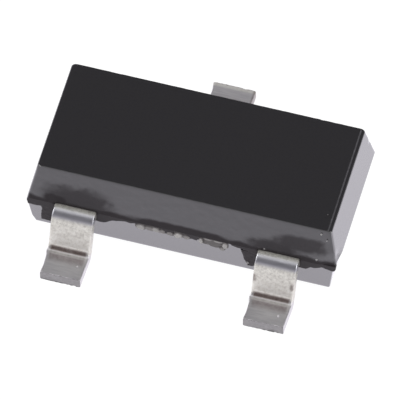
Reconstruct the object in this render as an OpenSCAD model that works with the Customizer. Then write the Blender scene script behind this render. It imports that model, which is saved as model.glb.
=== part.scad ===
// Three-lead surface-mount transistor: a moulded body on a formed lead frame.
// Millimetres. The board is the plane z = 0, the two-lead side faces -Y, the single lead faces +Y.

/* [Moulded body] */
// Length of the body along X at the parting edge
body_length = 2.90; // [2.80:0.01:3.04]
// Width of the body along Y at the parting edge
body_width = 1.34; // [1.28:0.01:1.40]
// Height of the body above the parting edge
upper_height = 0.42; // [0.40:0.01:0.52]
// Height of the body below the parting edge
lower_height = 0.45; // [0.42:0.01:0.54]
// Draft of the two end walls above the parting edge, degrees
end_draft = 10.6; // [6:0.2:13]
// Draft of the two long walls above the parting edge, degrees
side_draft = 11.4; // [6:0.2:13]
// Draft of the two end walls below the parting edge, degrees
lower_end_draft = 6.5; // [4:0.5:12]
// Draft of the two long walls below the parting edge, degrees
lower_side_draft = 7; // [4:0.5:12]
// Step from the upper half's edge in to the lower half, all round
lower_inset = 0.018; // [0.01:0.001:0.03]
// Shift of the lower half along X against the upper half
mould_offset = -0.015; // [-0.02:0.005:0.02]
// Radius of the upright corners above the parting edge
corner_radius = 0.03; // [0.02:0.005:0.08]
// Radius of the upright corners below the parting edge
lower_corner_radius = 0.015; // [0.01:0.005:0.06]
// Length of the bevel at each end of the top face
bevel_length = 0.045; // [0.02:0.005:0.08]
// Fall of the bevel at each end of the top face
bevel_fall = 0.012; // [0.005:0.001:0.03]
// Shift of the body along Y against the lead frame
body_shift = -0.035; // [-0.04:0.005:0.04]

/* [Leads] */
// Distance between the centres of the two front leads
lead_pitch = 1.90; // [1.85:0.01:1.95]
// Width of each lead
lead_width = 0.385; // [0.35:0.005:0.45]
// Thickness of the lead frame
lead_thickness = 0.11; // [0.09:0.005:0.15]
// Distance over the ends of the front and back feet
lead_span = 2.44; // [2.30:0.01:2.60]
// Gap between the board and the underside of the body
standoff = 0.02; // [0.01:0.01:0.10]
// Depth of the leads' upper face below the parting edge
lead_sink = 0.005; // [0.002:0.001:0.01]
// Flat length of each lead between the body's edge and its first bend, with the body in the middle
shoulder = 0.04; // [0.04:0.005:0.10]
// Slope of the leg between the two bends, degrees from the board
leg_slope = 72; // [60:1:80]
// Radius on the hollow side of each bend
bend_radius = 0.03; // [0.02:0.005:0.05]
// Sideways shift of the lead frame in the mould
frame_shift = -0.045; // [-0.06:0.005:0.06]

/* [Lead frame inside the body] */
// Width of the bonding post at the inner end of each front lead
post_width = 0.52; // [0.46:0.01:0.56]
// Length of each bonding post along Y
post_length = 0.30; // [0.24:0.01:0.34]
// Distance from the body's long edge to the bonding post
post_cover = 0.17; // [0.14:0.01:0.20]
// Gap in X between the bonding posts and the die flag
frame_gap = 0.20; // [0.15:0.01:0.25]
// Distance from the body's long edges to the die flag
flag_cover = 0.25; // [0.20:0.01:0.28]

/* [Die and bond wires] */
// Side of the square die
die_side = 0.42; // [0.30:0.01:0.50]
// Height of the die
die_height = 0.15; // [0.10:0.01:0.18]
// Height of the bonding layer under the die
attach_height = 0.015; // [0.01:0.001:0.02]
// Width of the bonding layer's rim outside the die
attach_rim = 0.03; // [0.02:0.005:0.04]
// Distance from the die's middle to each bond pad
pad_offset = 0.11; // [0.08:0.01:0.14]
// Diameter of the bond wires
wire_diameter = 0.025; // [0.02:0.001:0.03]
// Rise of the wire loop above the straight line between its ends
loop_rise = 0.14; // [0.10:0.01:0.16]
// Diameter of the ball bond on the die
ball_diameter = 0.07; // [0.06:0.002:0.08]
// Height of the ball bond
ball_height = 0.024; // [0.02:0.001:0.03]
// Length of the stitch bond on the post
stitch_length = 0.09; // [0.07:0.005:0.12]
// Width of the stitch bond
stitch_width = 0.05; // [0.04:0.002:0.06]
// Height of the stitch bond
stitch_height = 0.022; // [0.02:0.001:0.03]

/* [Moulding marks] */
// Width of the broken gate on the front wall
gate_width = 0.85; // [0.60:0.01:0.90]
// Height of the broken gate below the lead frame
gate_height = 0.17; // [0.10:0.01:0.24]
// How far the broken gate stands out of the wall
gate_proud = 0.025; // [0.01:0.005:0.04]
// How far the thin resin webs beside the front leads stand out of the wall
web_proud = 0.014; // [0.008:0.001:0.02]
// How far the strip of resin between the leads stands out of the lower wall
strip_proud = 0.012; // [0.006:0.001:0.016]
// Diameter of the ejector pin's mark on the underside
ejector_diameter = 0.56; // [0.40:0.02:0.70]
// Depth of the ejector pin's mark
ejector_depth = 0.02; // [0.01:0.005:0.03]

/* [Hidden] */

// Number of flats in a quarter of an upright corner and in a lead bend
corner_steps = 6;
bend_steps = 12;
// Sides and rings of a bond wire
wire_sides = 8;
wire_rings = 14;
// How far a moulding mark is rooted in the wall that it stands on
mark_root = 0.03;
// How far the lower half, the marks and the front leads reach into what they join
half_lap = 0.01;

// Heights above the board
parting_z = standoff + lower_height;
body_top = parting_z + upper_height;
lead_top = parting_z - lead_sink;
lead_bottom = lead_top - lead_thickness;
attach_top = lead_top + attach_height;
die_top = attach_top + die_height;

// Places in plan
base_x = frame_shift - lead_pitch / 2;
emitter_x = frame_shift + lead_pitch / 2;
front_edge = body_width / 2 - body_shift;
lower_half_length = body_length / 2 - lower_inset;
lower_half_width = body_width / 2 - lower_inset;
post_start_y = -front_edge + post_cover;
post_end_y = post_start_y + post_length;
flag_length = lead_pitch - post_width - 2 * frame_gap;
flag_half_width = body_width / 2 - flag_cover;
post_bond_y = post_end_y - post_length / 2;

// Depths of the gate's broken lower edge, as shares of its height, from -X to +X
gate_break = [0.30, 0.50, 0.40, 0.50, 0.35, 0.60, 0.30, 0.75, 1.00, 0.95, 0.50];
// Resin webs beside the front leads: lead centre, side of it, width, drop at the lead, drop at the far edge
lead_webs = [
    [base_x, -1, 0.15, 0.29, 0.26],
    [base_x, 1, 0.12, 0.06, 0.03],
    [emitter_x, -1, 0.13, 0.25, 0.06],
    [emitter_x, 1, 0.09, 0.05, 0.02]
];
// Way down the lower wall from the parting edge to the underside of the lead frame
frame_drop = (lead_sink + lead_thickness) / cos(lower_side_draft);

// Points of an arc about a centre, from one angle to another
function arc(centre, radius, from, to, steps) = [
    for (i = [0:steps])
        let (a = from + (to - from) * i / steps)
        [centre[0] + radius * cos(a), centre[1] + radius * sin(a)]
];

// One level outline of the body: a rectangle with rounded corners, anticlockwise from above
function body_ring(half_x, half_y, z, radius, middle_x = 0) = [
    for (quarter = [0:3], i = [0:corner_steps])
        let (
            a = 90 * quarter + 90 * i / corner_steps,
            x_sign = quarter == 0 || quarter == 3 ? 1 : -1,
            y_sign = quarter < 2 ? 1 : -1
        )
        [middle_x + x_sign * (half_x - radius) + radius * cos(a),
         body_shift + y_sign * (half_y - radius) + radius * sin(a), z]
];

// Half lengths of the body along X and Y at a height above the parting edge
function upper_half_x(z) = body_length / 2 - (z - parting_z) * tan(end_draft);
function upper_half_y(z) = body_width / 2 - (z - parting_z) * tan(side_draft);

bevel_z = body_top - bevel_fall;

upper_rings = [
    body_ring(body_length / 2, body_width / 2, parting_z, corner_radius),
    body_ring(upper_half_x(bevel_z), upper_half_y(bevel_z), bevel_z, corner_radius),
    body_ring(upper_half_x(bevel_z) - bevel_length, upper_half_y(body_top), body_top, corner_radius)
];

lower_rings = [
    body_ring(lower_half_length - lower_height * tan(lower_end_draft),
              lower_half_width - lower_height * tan(lower_side_draft),
              standoff, lower_corner_radius, mould_offset),
    body_ring(lower_half_length, lower_half_width, parting_z, lower_corner_radius, mould_offset),
    body_ring(lower_half_length - mark_root, lower_half_width - mark_root,
              parting_z + half_lap, lower_corner_radius, mould_offset)
];

// Solid through a stack of closed outlines with the same number of points
module loft(rings) {
    count = len(rings[0]);
    last = len(rings) - 1;
    sides = [
        for (k = [0:last - 1], i = [0:count - 1])
            let (j = (i + 1) % count)
            [k * count + i, (k + 1) * count + i, (k + 1) * count + j, k * count + j]
    ];
    bottom = [for (i = [0:count - 1]) i];
    top = [for (i = [count - 1:-1:0]) last * count + i];
    polyhedron(points = [for (r = rings) each r], faces = concat([bottom], sides, [top]));
}

// Puts a flat outline on the lower front wall: x along X, y up from the parting edge, z out of the wall
module on_front_wall() {
    translate([0, lower_inset - front_edge, parting_z])
        rotate([90 + lower_side_draft, 0, 0])
            children();
}

// Strip as thick as the lead frame, where resin filled the gaps between the leads
module resin_strip() {
    strip_length = 2 * (lower_half_length - lower_corner_radius);
    on_front_wall()
        translate([mould_offset - strip_length / 2, -frame_drop, -mark_root])
            cube([strip_length, frame_drop + half_lap, mark_root + strip_proud]);
}

// A mark of the front wall, and the same mark on the back wall
module on_both_walls() {
    children();
    translate([0, 2 * body_shift, 0])
        mirror([0, 1, 0])
            children();
}

// Rough strip left where the gate was broken off
module broken_gate() {
    last = len(gate_break) - 1;
    lower_edge = [
        for (i = [0:last])
            [gate_width * (i / last - 0.5), -gate_height * gate_break[i]]
    ];
    on_front_wall()
        translate([0, -frame_drop, -mark_root])
            linear_extrude(mark_root + gate_proud)
                polygon(concat([[gate_width / 2, half_lap], [-gate_width / 2, half_lap]], lower_edge));
}

// Thin web of resin that crept down the wall beside a lead
module resin_web(web) {
    near = web[0] + web[1] * lead_width / 2;
    far = near + web[1] * web[2];
    on_front_wall()
        translate([0, -frame_drop, -mark_root])
            linear_extrude(mark_root + web_proud)
                polygon([[near, half_lap], [far, half_lap], [far, -web[4]], [near, -web[3]]]);
}

// Mark of the ejector pin on the underside
module ejector_mark() {
    translate([mould_offset, body_shift, standoff - ejector_depth])
        cylinder(d = ejector_diameter, h = 2 * ejector_depth, $fn = 64);
}

// Side profile of a formed lead outside the body: [distance from the middle plane, height]
outer_radius = bend_radius + lead_thickness;
leg_start = body_width / 2 + shoulder;
leg_drop = lead_top - lead_thickness - (outer_radius + bend_radius) * (1 - cos(leg_slope));
foot_start = leg_start + (outer_radius + bend_radius) * sin(leg_slope) + leg_drop / tan(leg_slope);
upper_bend = [leg_start, lead_bottom - bend_radius];
lower_bend = [foot_start, lead_thickness + bend_radius];

module lead_profile(root) {
    polygon(concat(
        [[root, lead_top]],
        arc(upper_bend, outer_radius, 90, 90 - leg_slope, bend_steps),
        arc(lower_bend, bend_radius, 270 - leg_slope, 270, bend_steps),
        [[lead_span / 2, lead_thickness], [lead_span / 2, 0]],
        arc(lower_bend, outer_radius, 270, 270 - leg_slope, bend_steps),
        arc(upper_bend, bend_radius, 90 - leg_slope, 90, bend_steps),
        [[root, lead_bottom]]
    ));
}

// Formed lead that leaves the body towards -Y at x = 0, from the root inside the body
module formed_lead(root) {
    translate([lead_width / 2, 0, 0])
        rotate([90, 0, -90])
            linear_extrude(lead_width)
                lead_profile(root);
}

// Front lead with its bonding post
module front_lead(x) {
    translate([x, 0, 0]) {
        formed_lead(-post_start_y - half_lap);
        translate([-post_width / 2, post_start_y, lead_bottom])
            cube([post_width, post_length, lead_thickness]);
    }
}

// Point and direction of a bond wire's loop between two places
function loop_point(from, to, t) =
    from + (to - from) * t + [0, 0, loop_rise * sin(180 * pow(t, 0.6))];

function wire_path(from, to) = [
    for (i = [0:wire_rings - 1])
        let (t = pow(i / (wire_rings - 1), 1.6))
        loop_point(from, to, t)
];

function unit(v) = v / norm(v);

function wire_ring(path, i, across) =
    let (
        along = unit(path[min(i + 1, wire_rings - 1)] - path[max(i - 1, 0)]),
        over = cross(along, across)
    )
    [for (k = [0:wire_sides - 1])
        let (a = 360 * k / wire_sides)
        path[i] + wire_diameter / 2 * (cos(a) * across + sin(a) * over)];

// Bond wire from a ball on the die to a stitch on a post
module bond_wire(pad_x, post_x) {
    ball = [pad_x, body_shift - pad_offset, die_top + ball_height / 2];
    stitch = [post_x, post_bond_y, lead_top + wire_diameter / 2];
    plan = unit([stitch[0] - ball[0], stitch[1] - ball[1], 0]);
    across = [-plan[1], plan[0], 0];
    path = wire_path(ball, stitch);
    loft([for (i = [0:wire_rings - 1]) wire_ring(path, i, across)]);
    translate([ball[0], ball[1], die_top])
        cylinder(d = ball_diameter, h = ball_height, $fn = 32);
    translate([stitch[0], stitch[1], lead_top])
        rotate([0, 0, atan2(plan[1], plan[0])])
            translate([-stitch_length / 2, -stitch_width / 2, 0])
                cube([stitch_length, stitch_width, stitch_height]);
}

module base_lead() {
    color("silver")
        front_lead(base_x);
}

module emitter_lead() {
    color("silver")
        front_lead(emitter_x);
}

// The back lead carries the flag that the die sits on
module collector_lead() {
    color("silver")
        translate([frame_shift, 0, 0]) {
            rotate([0, 0, 180])
                formed_lead(body_shift);
            translate([-flag_length / 2, body_shift - flag_half_width, lead_bottom])
                cube([flag_length, 2 * flag_half_width, lead_thickness]);
        }
}

module die_attach() {
    attach_side = die_side + 2 * attach_rim;
    color("lightgray")
        translate([frame_shift - attach_side / 2, body_shift - attach_side / 2, lead_top])
            cube([attach_side, attach_side, attach_height]);
}

module die() {
    color("slategray")
        translate([frame_shift - die_side / 2, body_shift - die_side / 2, attach_top])
            cube([die_side, die_side, die_height]);
}

module base_bond_wire() {
    color("gold")
        bond_wire(frame_shift - pad_offset, base_x);
}

module emitter_bond_wire() {
    color("gold")
        bond_wire(frame_shift + pad_offset, emitter_x);
}

// Epoxy moulded round the frame, the die and the wires
module moulded_body() {
    color([0.17, 0.17, 0.19])
        difference() {
            union() {
                loft(upper_rings);
                loft(lower_rings);
                on_both_walls()
                    resin_strip();
                broken_gate();
                for (web = lead_webs)
                    resin_web(web);
            }
            ejector_mark();
            base_lead();
            emitter_lead();
            collector_lead();
            die_attach();
            die();
            base_bond_wire();
            emitter_bond_wire();
        }
}

moulded_body();
base_lead();
emitter_lead();
collector_lead();
die();
die_attach();
base_bond_wire();
emitter_bond_wire();
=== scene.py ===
"""Looks of a three-lead surface-mount transistor: moulded epoxy and tinned leads on a pale floor."""

import math

import bpy
import numpy as np
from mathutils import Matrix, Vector, noise


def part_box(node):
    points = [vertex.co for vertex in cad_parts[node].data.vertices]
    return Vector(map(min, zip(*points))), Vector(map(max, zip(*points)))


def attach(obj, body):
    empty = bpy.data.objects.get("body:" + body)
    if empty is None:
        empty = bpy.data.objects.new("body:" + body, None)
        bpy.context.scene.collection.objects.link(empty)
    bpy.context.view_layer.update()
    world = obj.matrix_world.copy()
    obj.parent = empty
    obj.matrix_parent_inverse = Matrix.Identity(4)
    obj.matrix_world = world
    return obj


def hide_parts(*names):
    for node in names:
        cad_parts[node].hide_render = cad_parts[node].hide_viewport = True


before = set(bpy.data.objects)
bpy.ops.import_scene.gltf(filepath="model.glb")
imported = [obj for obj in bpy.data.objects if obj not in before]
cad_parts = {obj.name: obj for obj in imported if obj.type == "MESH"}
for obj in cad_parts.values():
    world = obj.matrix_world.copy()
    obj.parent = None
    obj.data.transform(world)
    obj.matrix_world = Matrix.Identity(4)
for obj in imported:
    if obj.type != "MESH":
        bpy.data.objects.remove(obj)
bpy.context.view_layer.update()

MM = 0.001

# Sizes in millimetres that the solids give
body_low, body_high = (np.array(corner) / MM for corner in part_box("moulded_body"))
lead_low, lead_high = (np.array(corner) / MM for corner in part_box("base_lead"))
flag_low, flag_high = (np.array(corner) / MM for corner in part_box("collector_lead"))
BODY_HALF_LENGTH = body_high[0]
BODY_BOTTOM = body_low[2]
BODY_TOP = body_high[2]
BACK_EDGE = body_high[1]
LEAD_TOP = lead_high[2]
LEAD_END = flag_high[1]
BASE_X = (lead_low[0] + lead_high[0]) / 2
COLLECTOR_X = (flag_low[0] + flag_high[0]) / 2
EMITTER_X = 2 * COLLECTOR_X - BASE_X
POST_HALF_WIDTH = (lead_high[0] - lead_low[0]) / 2
POST_START = -lead_high[1]
FLAG_HALF_LENGTH = (flag_high[0] - flag_low[0]) / 2
FLAG_START = flag_low[1]

# Sizes in millimetres that are the same in the solids
BODY_HALF_WIDTH = 0.67
END_DRAFT = math.radians(10.6)
SIDE_DRAFT = math.radians(11.4)
LOWER_END_DRAFT = math.radians(6.5)
LOWER_SIDE_DRAFT = math.radians(7)
LOWER_INSET = 0.018
MOULD_OFFSET = -0.015
CORNER_RADIUS = 0.03
LOWER_CORNER_RADIUS = 0.015
BEVEL_LENGTH = 0.045
BEVEL_FALL = 0.012
STRIP_PROUD = 0.012
EJECTOR_RADIUS = 0.28
EJECTOR_DEPTH = 0.02
LEAD_WIDTH = 0.385
LEAD_THICKNESS = 0.11
LEAD_SINK = 0.005
LEG_START = 0.71
LEG_SLOPE = math.radians(72)
BEND_RADIUS = 0.03
POST_COVER = 0.17
FLAG_COVER = 0.25

# Places in millimetres that follow from them
BODY_Y = BACK_EDGE - BODY_HALF_WIDTH
FRONT_EDGE = BODY_Y - BODY_HALF_WIDTH
LEAD_BOTTOM = LEAD_TOP - LEAD_THICKNESS
PARTING_Z = LEAD_TOP + LEAD_SINK
BEVEL_Z = BODY_TOP - BEVEL_FALL
BEVEL_X = BODY_HALF_LENGTH - (BEVEL_Z - PARTING_Z) * math.tan(END_DRAFT) - BEVEL_LENGTH
LEAD_HALF_WIDTH = LEAD_WIDTH / 2
FRAME_DROP = LEAD_SINK + LEAD_THICKNESS

# Camera of the photograph, in degrees, pixels and millimetres
VIEW_AZIMUTH = 15.52
VIEW_ELEVATION = 55.59
PIXELS_PER_MM = 110.62
IMAGE_SIZE = 400
ANCHOR_HEIGHT = 0.45
ANCHOR_PIXEL = (202.39, 171.94)
CAMERA_DISTANCE = 104.0
SENSOR_WIDTH = 36.0

# Nearest and farthest that the camera draws, in metres
CLIP = (0.01, 10.0)


# Mesh helpers

SHARP_ANGLE = math.radians(40)


def new_piece(name, points, faces, materials, face_materials=None):
    """A mesh piece from points in millimetres, smooth but for its sharp edges."""
    mesh = bpy.data.meshes.new(name)
    mesh.from_pydata([tuple(p) for p in np.asarray(points) * MM], [], faces)
    for material in materials:
        mesh.materials.append(material)
    if face_materials is not None:
        mesh.polygons.foreach_set("material_index", face_materials)
    mesh.polygons.foreach_set("use_smooth", [True] * len(mesh.polygons))
    mesh.set_sharp_from_angle(angle=SHARP_ANGLE)
    mesh.update()
    piece = bpy.data.objects.new(name, mesh)
    bpy.context.scene.collection.objects.link(piece)
    weighted = piece.modifiers.new("even_normals", "WEIGHTED_NORMAL")
    weighted.keep_sharp = True
    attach(piece, "root")
    return piece


def set_mask(piece, name, values):
    """Number for each point that a material reads by name."""
    mask = piece.data.attributes.new(name, "FLOAT", "POINT")
    mask.data.foreach_set("value", np.asarray(values, np.float32))


def loft_faces(ring_count, ring_size):
    """Quads between rings of equal size, the first and last ring closed by one face each."""
    faces = []
    for k in range(ring_count - 1):
        near, far = k * ring_size, (k + 1) * ring_size
        for i in range(ring_size):
            j = (i + 1) % ring_size
            faces.append((near + i, near + j, far + j, far + i))
    faces.append(tuple(reversed(range(ring_size))))
    faces.append(tuple(range((ring_count - 1) * ring_size, ring_count * ring_size)))
    return faces


def smooth_step(value, start, end):
    """0 before start, 1 past end, and a soft rise between them."""
    share = np.clip((value - start) / (end - start), 0, 1)
    return share * share * (3 - 2 * share)


def window(value, rise, fall):
    """1 between a soft rise and a soft fall, 0 outside them."""
    return smooth_step(value, *rise) * (1 - smooth_step(value, *fall))


def rough(point, scale, octaves=4):
    """Fractal noise of about -1 to 1 at a point in millimetres, with scale features in each millimetre."""
    return noise.fractal(Vector(point) * scale, 1.0, 2.0, octaves)


def rounded_reach(across, along, power):
    """Distance from the middle of a rounded patch, 1 at its rim."""
    return (abs(across) ** power + abs(along) ** power) ** (1 / power)


# Moulded body: steps of its mesh

CORNER_STEPS = 6
LONG_STEPS = 240
SHORT_STEPS = 50
FILLET_STEPS = 4
LOWER_RINGS = 14
STRIP_RINGS = 20
UPPER_RINGS = 36

# Rounded edges in millimetres
BOTTOM_FILLET = 0.014
TOP_ROUND = 0.006
TOP_ROUND_INSET = 0.2 * TOP_ROUND
TOP_ROUND_DROP = 0.35 * TOP_ROUND
EDGE_STEP = 0.003

# Rounded edge of the ejector mark: step out from its radius and share of its depth
EJECTOR_EDGE = ((-0.010, 1.0), (0.0, 0.7), (0.004, 0.1), (0.010, 0.0))

# Outlines on the top face, the first two at the limits of the painted highlight line: set in along X and
# along Y
HIGHLIGHT_RINGS = ((0.028, 0.012), (0.041, 0.014), (BEVEL_LENGTH + EDGE_STEP, 0.016))
HIGHLIGHT_RADIUS = 0.003

# Finishes of the moulding, the last a painted highlight line on the right bevel, and reach of the polished
# one round the corners
SATIN, POLISHED, PAINTED_HIGHLIGHT = range(3)
END_MARGIN = 0.25 * CORNER_RADIUS

# Waves of the long walls, which fade at the corners
LONG_WALL_START = 0.3
EDGE_WAVE = 0.0015
WAVE_SCALE = 14
CORNER_FADE = (-0.015, -0.002)

# Set-back of a long wall where a lead comes out: depth and soft limits
NOTCH_DEPTH = 0.013
NOTCH_RISE = (LEAD_TOP - 0.03, LEAD_TOP - 0.01)
NOTCH_FALL = (PARTING_Z + 0.005, PARTING_Z + 0.04)
NOTCH_SIDE = (0.0, 0.02)

# Ragged lower edge of the strip of resin, and room for it in the finer mesh
STRIP_RAGGED = 0.012
STRIP_SCALE = 12
STRIP_SEED = 7.0
STRIP_SOFT = 0.004
STRIP_MARGIN = 0.03

# End of the strip that stands out at the right front corner
LIP_PROUD = 0.022
LIP_ALONG = (1.385, 1.405)
LIP_FADE = (0.015, 0.050)

# Swollen left front corner and its soft limits
CORNER_BULGE = 0.020
BULGE_ALONG = (1.25, 1.40)
BULGE_ACROSS = (0.45, 0.60)
BULGE_RISE = (0.03, 0.12)
BULGE_FALL = (LEAD_TOP - 0.06, LEAD_TOP)

# Dull band above the parting edge
BAND_RISE = 0.052
BAND_WAVE = 0.026
BAND_SCALE = 5
BAND_FADE = 0.021

# Small chips: place, reach and depth in millimetres, and share of the reach at full depth
CHIPS = (
    ((1.405, 0.590, 0.69), 0.05, 0.008),
    ((0.974, 0.549, 0.89), 0.03, 0.004),
    ((-1.37, -0.62, 0.88), 0.04, 0.006),
    ((1.45, -0.70, 0.47), 0.20, 0.024),
)
CHIP_FLOOR = 0.2

# Lower edge of the strip of resin on the front wall: place along X and drop below the parting edge
STRIP_EDGE = (
    (-0.80, 0.125), (-0.70, 0.115), (-0.60, 0.075), (-0.47, 0.050), (-0.40, 0.025), (-0.20, 0.013),
    # The two deep dips under the gate, around X -0.13 and 0.10, lay dull resin as painted shade of the
    # recesses beside the gate lumps
    (-0.16, 0.095), (-0.10, 0.085), (-0.07, 0.012), (0.03, 0.008), (0.06, 0.080), (0.14, 0.105),
    (0.17, 0.006), (0.43, 0.006), (0.47, 0.040), (0.55, 0.065), (0.70, 0.115), (1.08, 0.125),
    (1.22, 0.120), (1.30, 0.075), (1.45, 0.095),
)

# Dull patches on the front wall above the leads, painted in for the leads' dark reflection: middle and half
# sizes along X and Z, and strength
PAINTED_REFLECTIONS = (
    (-0.975, 0.50, 0.345, 0.24, 0.80),
    (-1.190, 0.48, 0.135, 0.130, 1.00),
    (-0.020, 0.50, 0.500, 0.055, 1.00),
    (1.100, 0.665, 0.260, 0.100, 0.80),
    (0.860, 0.490, 0.270, 0.150, 0.85),
)
REFLECTION_POWER = 3
REFLECTION_FADE = (0.66, 1.16)
# Ragged edges of the painted reflection patches: amount and features in each millimetre
REFLECTION_RAGGED = ((0.16, 9), (0.08, 25))


def body_ring(half_x, half_y, z, radius=CORNER_RADIUS, middle_x=0.0):
    """Level outline of the body with rounded corners, anticlockwise from the right end's front."""
    flat_x, flat_y = half_x - radius, half_y - radius
    along_x = np.linspace(-flat_x, flat_x, LONG_STEPS + 1)[1:-1]
    along_y = np.linspace(-flat_y, flat_y, SHORT_STEPS + 1)[1:-1]
    points = []

    def corner(sign_x, sign_y, start):
        for i in range(CORNER_STEPS + 1):
            a = math.radians(start + 90 * i / CORNER_STEPS)
            x = sign_x * flat_x + radius * math.cos(a)
            y = sign_y * flat_y + radius * math.sin(a)
            points.append((x, y, z))

    points += [(half_x, y, z) for y in along_y]
    corner(1, 1, 0)
    points += [(x, half_y, z) for x in along_x[::-1]]
    corner(-1, 1, 90)
    points += [(-half_x, y, z) for y in along_y[::-1]]
    corner(-1, -1, 180)
    points += [(x, -half_y, z) for x in along_x]
    corner(1, -1, 270)
    return [(x + middle_x, y + BODY_Y, z) for x, y, z in points]


def ejector_ring(outline, radius, z):
    """Circle with a point for each point of an outline, at the same angle."""
    angles = [math.atan2(p[1] - BODY_Y, p[0] - MOULD_OFFSET) for p in outline]
    return [(MOULD_OFFSET + radius * math.cos(a), BODY_Y + radius * math.sin(a), z) for a in angles]


def upper_halves(z):
    """Half length and half width of the upper half at a height."""
    rise = z - PARTING_Z
    return BODY_HALF_LENGTH - rise * math.tan(END_DRAFT), BODY_HALF_WIDTH - rise * math.tan(SIDE_DRAFT)


def lower_halves(z):
    """Half length and half width of the lower half at a height."""
    drop = PARTING_Z - z
    return (BODY_HALF_LENGTH - LOWER_INSET - drop * math.tan(LOWER_END_DRAFT),
            BODY_HALF_WIDTH - LOWER_INSET - drop * math.tan(LOWER_SIDE_DRAFT))


def upper_ring(z):
    return body_ring(*upper_halves(z), z)


def lower_ring(z, inset=0.0):
    half_x, half_y = lower_halves(z)
    return body_ring(half_x - inset, half_y - inset, z, LOWER_CORNER_RADIUS, MOULD_OFFSET)


def top_height(x):
    """Height of the top face, which falls away at both ends."""
    return BODY_TOP - BEVEL_FALL * min(max((abs(x) - BEVEL_X) / BEVEL_LENGTH, 0), 1)


def top_ring(inset_x, inset_y, drop=0.0, radius=CORNER_RADIUS):
    """Outline on the top face, set in from the walls' upper edges."""
    half_x, half_y = upper_halves(BEVEL_Z)[0], upper_halves(BODY_TOP)[1]
    ring = body_ring(half_x - inset_x, half_y - inset_y, 0, radius)
    return [(x, y, top_height(x) - drop) for x, y, _ in ring]


def lower_rings():
    """Outlines from the ejector mark's floor up to the parting edge."""
    outline = lower_ring(BODY_BOTTOM)
    rings = []
    for step, share in EJECTOR_EDGE:
        rings.append(ejector_ring(outline, EJECTOR_RADIUS + step, BODY_BOTTOM + share * EJECTOR_DEPTH))
    for i in range(FILLET_STEPS + 1):
        a = math.pi / 2 * i / FILLET_STEPS
        z = BODY_BOTTOM + BOTTOM_FILLET * (1 - math.cos(a))
        rings.append(lower_ring(z, BOTTOM_FILLET * (1 - math.sin(a))))
    strip_start = LEAD_BOTTOM - STRIP_MARGIN
    for z in np.linspace(BODY_BOTTOM + BOTTOM_FILLET, strip_start, LOWER_RINGS)[1:]:
        rings.append(lower_ring(z))
    for z in np.linspace(strip_start, PARTING_Z, STRIP_RINGS)[1:]:
        rings.append(lower_ring(z))
    return rings


def upper_rings():
    """Outlines from the parting edge up to the top face."""
    rings = [upper_ring(z) for z in np.linspace(PARTING_Z, BEVEL_Z - TOP_ROUND, UPPER_RINGS)]
    rings.append(top_ring(0.0, 0.0, TOP_ROUND))
    rings.append(top_ring(TOP_ROUND_INSET, TOP_ROUND_INSET, TOP_ROUND_DROP))
    for inset in (TOP_ROUND, TOP_ROUND + EDGE_STEP):
        rings.append(top_ring(inset, inset))
    for inset_x, inset_y in HIGHLIGHT_RINGS:
        rings.append(top_ring(inset_x, inset_y, radius=HIGHLIGHT_RADIUS))
    return rings


def chipped(point):
    """A point of the body, moved in where a chip is near it."""
    x, y, _ = point
    inward = np.array((-math.copysign(1, x), -math.copysign(1, y - BODY_Y), 0)) / math.sqrt(2)
    moved = np.array(point)
    for place, reach, depth in CHIPS:
        moved += inward * depth * (1 - smooth_step(math.dist(point, place), CHIP_FLOOR * reach, reach))
    return moved


def lead_notch(point):
    """How far a long wall is set back where a lead comes out of it."""
    x, y, z = point
    exits = (BASE_X, EMITTER_X) if y < BODY_Y else (COLLECTOR_X,)
    beside = min(abs(x - place) for place in exits) - LEAD_HALF_WIDTH
    return NOTCH_DEPTH * window(z, NOTCH_RISE, NOTCH_FALL) * (1 - smooth_step(beside, *NOTCH_SIDE))


def upper_point(point):
    """A point of the upper half on its slightly uneven walls."""
    x, y, z = point
    if abs(y - BODY_Y) > LONG_WALL_START:
        y += EDGE_WAVE * rough(point, WAVE_SCALE) - math.copysign(lead_notch(point), y - BODY_Y)
    return chipped((x, y, z))


def strip_share(point):
    """1 on the strip of resin as thick as the lead frame, 0 below its ragged lower edge."""
    x, y, z = point
    drop = np.interp(x, *zip(*STRIP_EDGE)) if y < BODY_Y else FRAME_DROP
    edge = PARTING_Z - drop + STRIP_RAGGED * rough((x, y, STRIP_SEED), STRIP_SCALE)
    return float(smooth_step(z, edge - STRIP_SOFT, edge + STRIP_SOFT))


def long_wall_share(point, half_y):
    """1 on the long walls, 0 on the end walls and in the corners between them."""
    return float(smooth_step(abs(point[1] - BODY_Y) - half_y, *CORNER_FADE))


def corner_lip(point):
    """1 where the strip of resin runs out past the right front corner, 0 away from it."""
    x, y, z = point
    inward = y - (BODY_Y - lower_halves(z)[1])
    return strip_share(point) * smooth_step(x, *LIP_ALONG) * (1 - smooth_step(inward, *LIP_FADE))


def corner_bulge(point):
    """1 on the swollen left front corner, 0 away from it."""
    x, y, z = point
    level = smooth_step(-x, *BULGE_ALONG) * smooth_step(BODY_Y - y, *BULGE_ACROSS)
    return level * window(z, BULGE_RISE, BULGE_FALL)


def lower_point(point):
    """A point of the lower half, moved out on the strip of resin and at the two front corners."""
    x, y, z = point
    share = strip_share(point) * long_wall_share(point, lower_halves(z)[1])
    outward = STRIP_PROUD * share - lead_notch(point)
    x += LIP_PROUD * corner_lip(point) - CORNER_BULGE * corner_bulge(point)
    return np.array((x, y + math.copysign(1, y - BODY_Y) * outward, z))


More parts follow.
